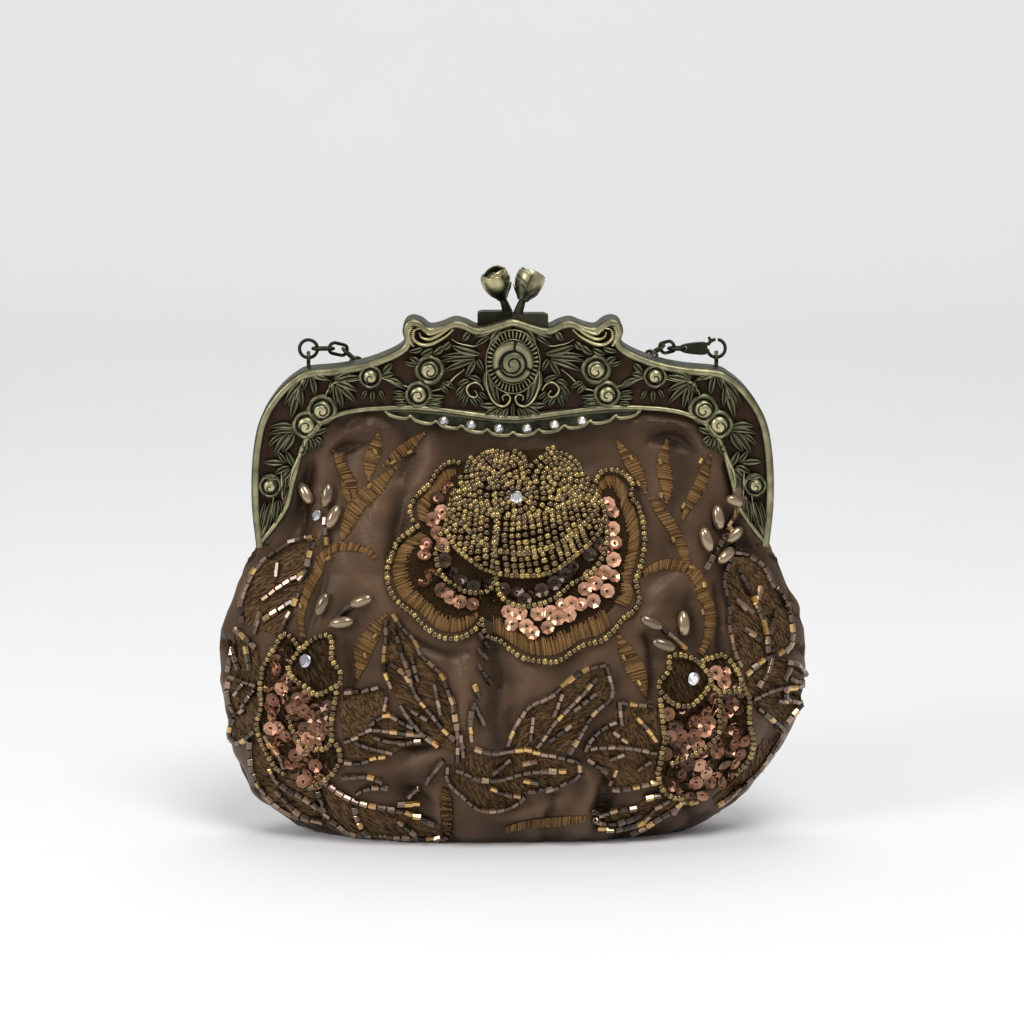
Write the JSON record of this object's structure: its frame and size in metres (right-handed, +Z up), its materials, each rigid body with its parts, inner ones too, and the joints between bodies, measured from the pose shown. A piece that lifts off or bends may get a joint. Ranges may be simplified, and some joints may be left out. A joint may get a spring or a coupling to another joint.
{
  "type": "evening clutch",
  "caption": "Soft satin clutch hung in a hinged openwork metal frame that shuts with two rosebud knobs and carries a short chain.",
  "frame": {"origin": "middle of the flat base, on the surface the bag stands on", "axes": "+Z up, the front faces -Y, +X to the right seen from the front"},
  "size_m": [0.204, 0.0696, 0.1982],
  "materials": {
    "front_brass": "antique brass, bright on the high parts and dark in the hollows",
    "back_brass": "antique brass",
    "rivet_brass": "antique brass",
    "stone": "clear faceted stones",
    "satin": "soft dark brown satin",
    "lining": "plain lining cloth",
    "chain_brass": "antique brass wire",
    "clasp_brass": "antique brass, polished"
  },
  "bodies": {
    "back_half": {"back_frame": "back_brass", "back_openwork": "back_brass", "back_stones": "stone", "back_knob_arm": "back_brass", "back_rosebud_knob": "back_brass", "left_hinge_rivet": "rivet_brass", "right_hinge_rivet": "rivet_brass", "pouch_body": "satin", "back_panel": "satin", "pouch_lining": "lining", "lining_pocket": "lining"},
    "front_half": {"front_frame": "front_brass", "front_openwork": "front_brass", "front_stones": "stone", "front_knob_arm": "front_brass", "front_rosebud_knob": "front_brass", "front_panel": "satin"},
    "strap": {"left_jump_ring": "chain_brass", "clasp_tail_ring": "chain_brass", "strap_chain": "chain_brass", "clasp_body": "clasp_brass", "clasp_pin": "clasp_brass"},
    "gate": {"clasp_gate": "clasp_brass"}
  },
  "joints": [
    {"name": "front_open", "type": "hinge", "parent": "back_half", "child": "front_half", "pos_m": [0, 0, 0.099], "axis": [1, 0, 0], "range_deg": [0, 50], "deforming": ["front_panel"]},
    {"name": "strap_swing", "type": "hinge", "parent": "back_half", "child": "strap", "pos_m": [0, 0.004, 0.16662], "axis": [1, 0, 0], "range_deg": [0, 45]},
    {"name": "clasp_gate_turn", "type": "hinge", "parent": "strap", "child": "gate", "pos_m": [0.06615, 0.004, 0.17086], "axis": [0, 1, 0], "range_deg": [0, 18], "stiffness_Nm_per_rad": 0.0004, "springref_deg": -17.19}
  ]
}
